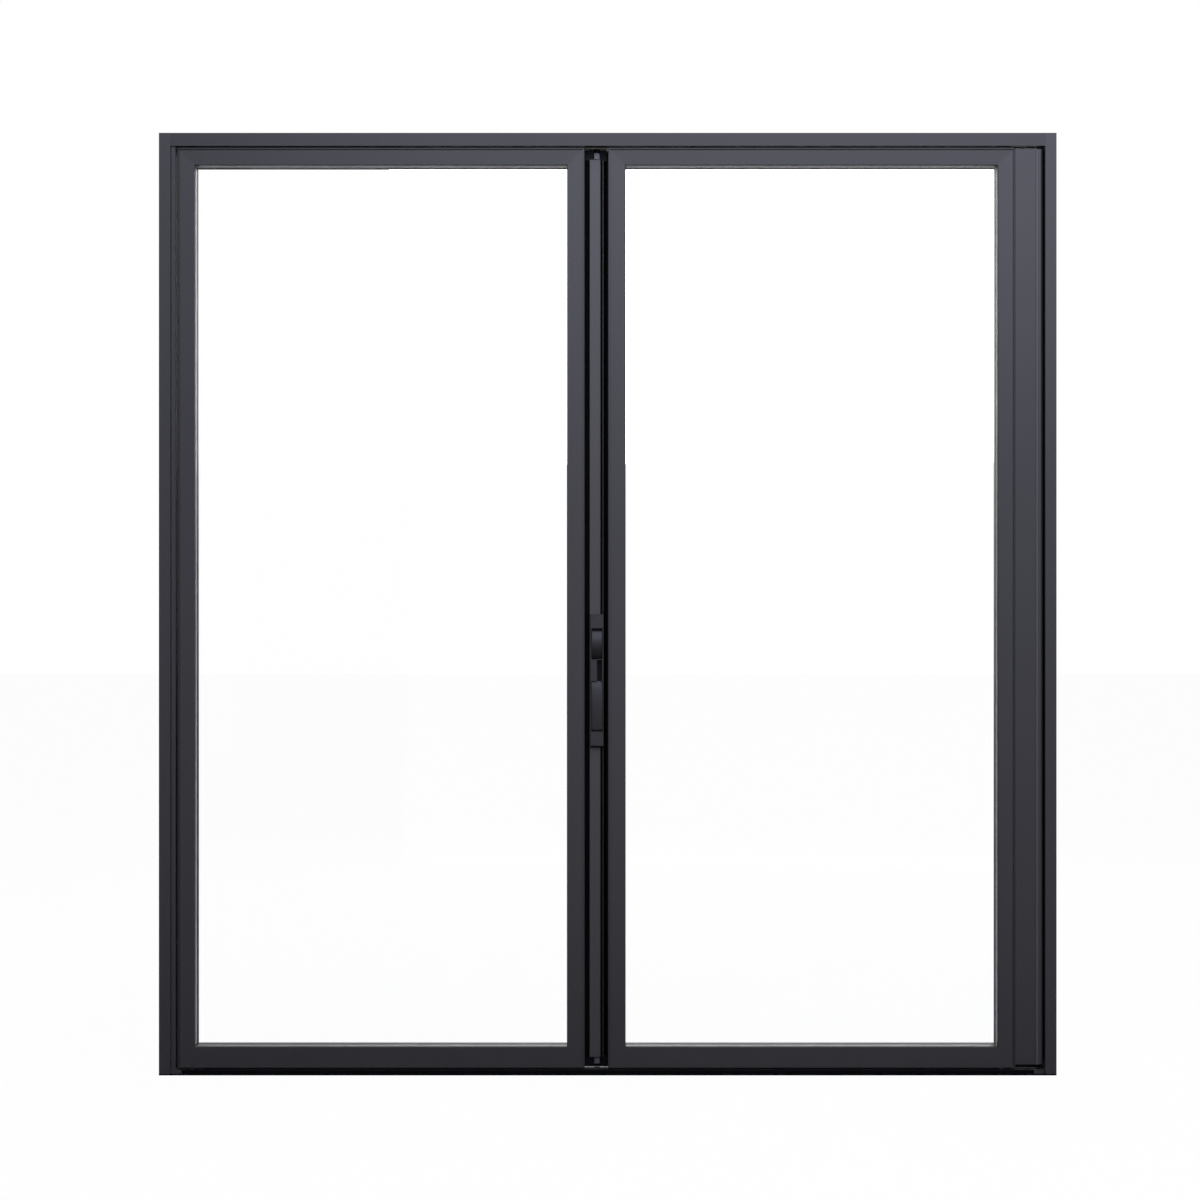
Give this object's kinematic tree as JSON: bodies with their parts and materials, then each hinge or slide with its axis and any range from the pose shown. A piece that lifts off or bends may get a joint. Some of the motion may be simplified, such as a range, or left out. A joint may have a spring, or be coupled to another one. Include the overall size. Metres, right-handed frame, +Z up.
{
  "type": "bi-fold door",
  "caption": "Glazed folding door in a slim dark metal frame, with hinged leaves hung from a head track, a jamb pivot, and a lever lock with shoot bolts between the leaves.",
  "frame": {"origin": "middle of the frame's foot, on the floor", "axes": "+X to the right seen from the folding side, +Y away from that side, +Z up"},
  "size_m": [2, 0.1, 2.1],
  "materials": {
    "coated_aluminium": "satin powder coat, charcoal",
    "black_rubber": "matte black",
    "clear_glass": "clear",
    "plain_steel": "zinc plated",
    "cast_fittings": "dark cast metal",
    "bare_aluminium": "dull anodised",
    "nylon": "dark nylon"
  },
  "bodies": {
    "frame": {"head": "coated_aluminium", "sill": "coated_aluminium", "left_jamb": "coated_aluminium", "right_jamb": "coated_aluminium", "pivot_side_filler": "coated_aluminium", "sill_front_strip": "black_rubber", "sill_end_blocks": "cast_fittings", "frame_screws": "plain_steel", "right_jamb_seal": "black_rubber", "top_pivot_block": "cast_fittings", "bottom_pivot_block": "cast_fittings", "jamb_pivot_pins": "cast_fittings", "bolt_keepers": "cast_fittings"},
    "left_leaf": {"left_pivot_stile": "coated_aluminium", "left_meeting_stile": "coated_aluminium", "left_top_rail": "coated_aluminium", "left_bottom_rail": "coated_aluminium", "left_glazing_beads": "coated_aluminium", "left_gaskets": "black_rubber", "left_outer_pane": "clear_glass", "left_inner_pane": "clear_glass", "left_spacer": "bare_aluminium", "left_setting_blocks": "nylon", "left_corner_cleats": "bare_aluminium", "left_pivot_sockets": "cast_fittings", "hinge_left_plates": "cast_fittings", "hinge_pins": "plain_steel", "lock_post": "coated_aluminium", "lock_plate": "coated_aluminium", "lock_case": "cast_fittings", "lock_screws": "cast_fittings", "bolt_guides": "nylon", "lever_pin": "plain_steel", "post_seal": "black_rubber"},
    "right_leaf": {"right_end_stile": "coated_aluminium", "right_meeting_stile": "coated_aluminium", "right_top_rail": "coated_aluminium", "right_bottom_rail": "coated_aluminium", "right_glazing_beads": "coated_aluminium", "right_gaskets": "black_rubber", "right_outer_pane": "clear_glass", "right_inner_pane": "clear_glass", "right_spacer": "bare_aluminium", "right_setting_blocks": "nylon", "right_corner_cleats": "bare_aluminium", "hanger_block": "cast_fittings", "guide_block": "cast_fittings", "guide_pin": "plain_steel", "end_cover_strip": "coated_aluminium", "meeting_seal": "black_rubber", "hinge_right_plates": "cast_fittings"},
    "carriage": {"carriage_body": "cast_fittings", "carriage_bolt": "plain_steel"},
    "front_wheels": {"front_wheelset": "plain_steel"},
    "rear_wheels": {"rear_wheelset": "plain_steel"},
    "roller": {"guide_roller": "nylon"},
    "lever": {"lever": "coated_aluminium"},
    "push_button": {"push_button": "coated_aluminium"},
    "top_bolt": {"top_bolt": "plain_steel"},
    "bottom_bolt": {"bottom_bolt": "plain_steel"}
  },
  "joints": [
    {"name": "left_leaf_swing", "type": "hinge", "parent": "frame", "child": "left_leaf", "pos_m": [-0.93, -0.031, 0.03], "axis": [0, 0, -1], "range_deg": [0, 88]},
    {"name": "right_leaf_fold", "type": "hinge", "parent": "left_leaf", "child": "right_leaf", "pos_m": [-0.0255, 0.026, 1.042], "axis": [0, 0, 1], "range_deg": [0, 176]},
    {"name": "carriage_turn", "type": "hinge", "parent": "right_leaf", "child": "carriage", "pos_m": [0.879, -0.031, 2.06], "axis": [0, 0, -1], "range_deg": [0, 88]},
    {"name": "front_wheels_roll", "type": "hinge", "parent": "carriage", "child": "front_wheels", "pos_m": [0.897, -0.031, 2.0823], "axis": [0, 1, 0], "continuous": true},
    {"name": "rear_wheels_roll", "type": "hinge", "parent": "carriage", "child": "rear_wheels", "pos_m": [0.861, -0.031, 2.0823], "axis": [0, 1, 0], "continuous": true},
    {"name": "guide_roller_turn", "type": "hinge", "parent": "right_leaf", "child": "roller", "pos_m": [0.879, -0.031, 0.0075], "axis": [0, 0, 1], "continuous": true},
    {"name": "lever_lift", "type": "hinge", "parent": "left_leaf", "child": "lever", "pos_m": [-0.024, -0.025, 0.771], "axis": [1, 0, 0], "range_deg": [0, 90]},
    {"name": "top_bolt_slide", "type": "slide", "parent": "left_leaf", "child": "top_bolt", "axis": [0, 0, 1], "range_m": [0, 0.014]},
    {"name": "bottom_bolt_slide", "type": "slide", "parent": "left_leaf", "child": "bottom_bolt", "axis": [0, 0, -1], "range_m": [0, 0.014]},
    {"name": "push_button_press", "type": "slide", "parent": "left_leaf", "child": "push_button", "axis": [0, 1, 0], "range_m": [0, 0.004], "stiffness_N_per_m": 300}
  ],
  "couplings": [
    {"joint": "right_leaf_fold", "follows": "left_leaf_swing", "ratio": 2},
    {"joint": "carriage_turn", "follows": "left_leaf_swing", "ratio": 1},
    {"joint": "top_bolt_slide", "follows": "lever_lift", "m_per_rad": 0.0089},
    {"joint": "bottom_bolt_slide", "follows": "lever_lift", "m_per_rad": 0.0089}
  ]
}
